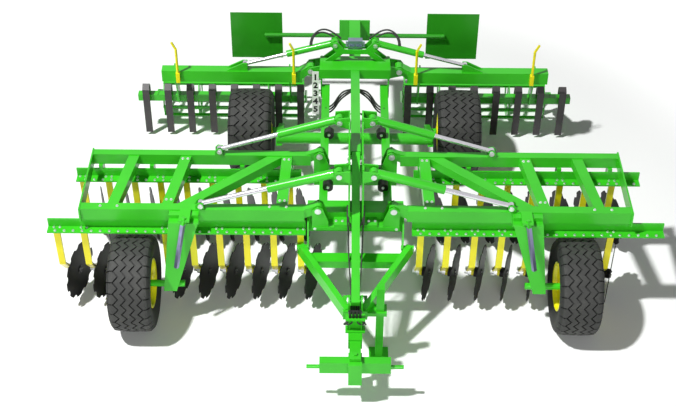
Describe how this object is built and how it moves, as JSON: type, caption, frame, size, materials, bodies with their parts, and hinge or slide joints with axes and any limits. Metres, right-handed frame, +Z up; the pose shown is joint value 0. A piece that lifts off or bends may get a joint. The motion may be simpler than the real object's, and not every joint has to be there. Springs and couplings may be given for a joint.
{
  "type": "trailed disc harrow",
  "caption": "Trailed folding disc harrow with gauge wheels, transport wheels, levelling tines and cage rollers.",
  "frame": {"origin": "on the ground, in the middle of the machine's outline", "axes": "+Z up, +X to the right, +Y to the rear, so the drawbar points along -Y"},
  "size_m": [5.68, 4.72, 1.67],
  "materials": {
    "green_paint": "glossy bright green paint",
    "yellow_paint": "glossy yellow paint",
    "disc_steel": "satin black disc steel",
    "spring_steel": "dark grey spring steel",
    "tyre_rubber": "matt dark rubber",
    "chrome_rod": "polished hard chrome",
    "scale_white": "satin white enamel",
    "valve_metal": "machined grey metal"
  },
  "bodies": {
    "chassis": {"centre_frame": "green_paint", "rear_frame": "green_paint", "marker_boards": "green_paint", "depth_scale": "scale_white", "valve_block": "valve_metal", "drawbar": "green_paint", "levelling_link": "green_paint", "axle_carrier": "green_paint"},
    "hitch": {"hitch_crossbar": "green_paint"},
    "leg": {"parking_leg": "green_paint"},
    "axle": {"transport_axle": "green_paint"},
    "wing_right": {"wing_frame_right": "green_paint", "front_gang_right": "green_paint", "rear_gang_right": "green_paint", "front_disc_arms_right": "yellow_paint", "rear_disc_arms_right": "yellow_paint", "front_discs_right": "disc_steel", "rear_discs_right": "disc_steel", "gauge_arm_right": "green_paint", "depth_adjuster_right": "valve_metal"},
    "gauge_wheel_right": {"gauge_tyre_right": "tyre_rubber", "gauge_rim_right": "yellow_paint"},
    "transport_wheel_right": {"transport_tyre_right": "tyre_rubber", "transport_rim_right": "yellow_paint"},
    "roller_wing_right": {"roller_beam_right": "green_paint", "levelling_tines_right": "spring_steel", "crank_adjusters_right": "yellow_paint"},
    "roller_right": {"cage_roller_right": "green_paint"},
    "front_barrel_right": {"front_fold_barrel_right": "green_paint"},
    "front_rod_right": {"front_fold_rod_right": "chrome_rod"},
    "rear_barrel_right": {"rear_fold_barrel_right": "green_paint"},
    "rear_rod_right": {"rear_fold_rod_right": "chrome_rod"},
    "roller_barrel_right": {"roller_fold_barrel_right": "green_paint"},
    "roller_rod_right": {"roller_fold_rod_right": "chrome_rod"},
    "wing_left": {"wing_frame_left": "green_paint", "front_gang_left": "green_paint", "rear_gang_left": "green_paint", "front_disc_arms_left": "yellow_paint", "rear_disc_arms_left": "yellow_paint", "front_discs_left": "disc_steel", "rear_discs_left": "disc_steel", "gauge_arm_left": "green_paint", "depth_adjuster_left": "valve_metal"},
    "gauge_wheel_left": {"gauge_tyre_left": "tyre_rubber", "gauge_rim_left": "yellow_paint"},
    "transport_wheel_left": {"transport_tyre_left": "tyre_rubber", "transport_rim_left": "yellow_paint"},
    "roller_wing_left": {"roller_beam_left": "green_paint", "levelling_tines_left": "spring_steel", "crank_adjusters_left": "yellow_paint"},
    "roller_left": {"cage_roller_left": "green_paint"},
    "front_barrel_left": {"front_fold_barrel_left": "green_paint"},
    "front_rod_left": {"front_fold_rod_left": "chrome_rod"},
    "rear_barrel_left": {"rear_fold_barrel_left": "green_paint"},
    "rear_rod_left": {"rear_fold_rod_left": "chrome_rod"},
    "roller_barrel_left": {"roller_fold_barrel_left": "green_paint"},
    "roller_rod_left": {"roller_fold_rod_left": "chrome_rod"}
  },
  "joints": [
    {"name": "wing_fold_right", "type": "hinge", "parent": "chassis", "child": "wing_right", "pos_m": [0.345, -0.65, 1.205], "axis": [0, -1, 0], "range_deg": [0, 75]},
    {"name": "gauge_wheel_turn_right", "type": "hinge", "parent": "wing_right", "child": "gauge_wheel_right", "pos_m": [2.06, -1.285, 0.455], "axis": [1, 0, 0], "continuous": true},
    {"name": "transport_wheel_turn_right", "type": "hinge", "parent": "axle", "child": "transport_wheel_right", "pos_m": [1.1, 1.1, 0.455], "axis": [1, 0, 0], "continuous": true},
    {"name": "roller_wing_fold_right", "type": "hinge", "parent": "chassis", "child": "roller_wing_right", "pos_m": [0.47, 1.445, 1.05], "axis": [0, -1, 0], "range_deg": [0, 62]},
    {"name": "roller_turn_right", "type": "hinge", "parent": "roller_wing_right", "child": "roller_right", "pos_m": [1.355, 2.04, 0.248], "axis": [1, 0, 0], "continuous": true},
    {"name": "front_barrel_swing_right", "type": "hinge", "parent": "chassis", "child": "front_barrel_right", "pos_m": [0.155, -1.055, 1.615], "axis": [0, -1, 0], "range_deg": [-1, 73.18]},
    {"name": "front_rod_slide_right", "type": "slide", "parent": "front_barrel_right", "child": "front_rod_right", "axis": [0.9585, 0, -0.2853], "range_m": [-0.5529, 0.005]},
    {"name": "rear_barrel_swing_right", "type": "hinge", "parent": "chassis", "child": "rear_barrel_right", "pos_m": [0.155, -0.25, 1.615], "axis": [0, -1, 0], "range_deg": [-1, 71.59]},
    {"name": "rear_rod_slide_right", "type": "slide", "parent": "rear_barrel_right", "child": "rear_rod_right", "axis": [0.9516, 0, -0.3075], "range_m": [-0.5509, 0.005]},
    {"name": "roller_barrel_swing_right", "type": "hinge", "parent": "chassis", "child": "roller_barrel_right", "pos_m": [0.21, 1.445, 1.36], "axis": [0, -1, 0], "range_deg": [-1, 47.18]},
    {"name": "roller_rod_slide_right", "type": "slide", "parent": "roller_barrel_right", "child": "roller_rod_right", "axis": [0.9613, 0, -0.2754], "range_m": [-0.3584, 0.005]},
    {"name": "wing_fold_left", "type": "hinge", "parent": "chassis", "child": "wing_left", "pos_m": [-0.345, -0.65, 1.205], "axis": [0, 1, 0], "range_deg": [0, 75]},
    {"name": "gauge_wheel_turn_left", "type": "hinge", "parent": "wing_left", "child": "gauge_wheel_left", "pos_m": [-2.06, -1.285, 0.455], "axis": [1, 0, 0], "continuous": true},
    {"name": "transport_wheel_turn_left", "type": "hinge", "parent": "axle", "child": "transport_wheel_left", "pos_m": [-1.1, 1.1, 0.455], "axis": [1, 0, 0], "continuous": true},
    {"name": "roller_wing_fold_left", "type": "hinge", "parent": "chassis", "child": "roller_wing_left", "pos_m": [-0.47, 1.445, 1.05], "axis": [0, 1, 0], "range_deg": [0, 62]},
    {"name": "roller_turn_left", "type": "hinge", "parent": "roller_wing_left", "child": "roller_left", "pos_m": [-1.355, 2.04, 0.248], "axis": [1, 0, 0], "continuous": true},
    {"name": "front_barrel_swing_left", "type": "hinge", "parent": "chassis", "child": "front_barrel_left", "pos_m": [-0.155, -1.055, 1.615], "axis": [0, 1, 0], "range_deg": [-1, 73.18]},
    {"name": "front_rod_slide_left", "type": "slide", "parent": "front_barrel_left", "child": "front_rod_left", "axis": [-0.9585, 0, -0.2853], "range_m": [-0.5529, 0.005]},
    {"name": "rear_barrel_swing_left", "type": "hinge", "parent": "chassis", "child": "rear_barrel_left", "pos_m": [-0.155, -0.25, 1.615], "axis": [0, 1, 0], "range_deg": [-1, 71.59]},
    {"name": "rear_rod_slide_left", "type": "slide", "parent": "rear_barrel_left", "child": "rear_rod_left", "axis": [-0.9516, 0, -0.3075], "range_m": [-0.5509, 0.005]},
    {"name": "roller_barrel_swing_left", "type": "hinge", "parent": "chassis", "child": "roller_barrel_left", "pos_m": [-0.21, 1.445, 1.36], "axis": [0, 1, 0], "range_deg": [-1, 47.18]},
    {"name": "roller_rod_slide_left", "type": "slide", "parent": "roller_barrel_left", "child": "roller_rod_left", "axis": [-0.9613, 0, -0.2754], "range_m": [-0.3584, 0.005]},
    {"name": "hitch_swivel", "type": "hinge", "parent": "chassis", "child": "hitch", "pos_m": [0, -2.255, 0.4], "axis": [0, 0, 1], "range_deg": [-50, 50]},
    {"name": "leg_slide", "type": "slide", "parent": "chassis", "child": "leg", "axis": [0, 0, 1], "range_m": [0, 0.45]},
    {"name": "axle_swing", "type": "hinge", "parent": "chassis", "child": "axle", "pos_m": [0, 0.6, 0.74], "axis": [-1, 0, 0], "range_deg": [0, 30]}
  ],
  "couplings": [
    {"joint": "front_barrel_swing_right", "follows": "wing_fold_right", "ratio": 0.96234},
    {"joint": "front_rod_slide_right", "follows": "wing_fold_right", "m_per_rad": -0.4186},
    {"joint": "rear_barrel_swing_right", "follows": "wing_fold_right", "ratio": 0.9412},
    {"joint": "rear_rod_slide_right", "follows": "wing_fold_right", "m_per_rad": -0.41704},
    {"joint": "roller_barrel_swing_right", "follows": "roller_wing_fold_right", "ratio": 0.74478},
    {"joint": "roller_rod_slide_right", "follows": "roller_wing_fold_right", "m_per_rad": -0.32654},
    {"joint": "front_barrel_swing_left", "follows": "wing_fold_left", "ratio": 0.96234},
    {"joint": "front_rod_slide_left", "follows": "wing_fold_left", "m_per_rad": -0.4186},
    {"joint": "rear_barrel_swing_left", "follows": "wing_fold_left", "ratio": 0.9412},
    {"joint": "rear_rod_slide_left", "follows": "wing_fold_left", "m_per_rad": -0.41704},
    {"joint": "roller_barrel_swing_left", "follows": "roller_wing_fold_left", "ratio": 0.74478},
    {"joint": "roller_rod_slide_left", "follows": "roller_wing_fold_left", "m_per_rad": -0.32654}
  ]
}
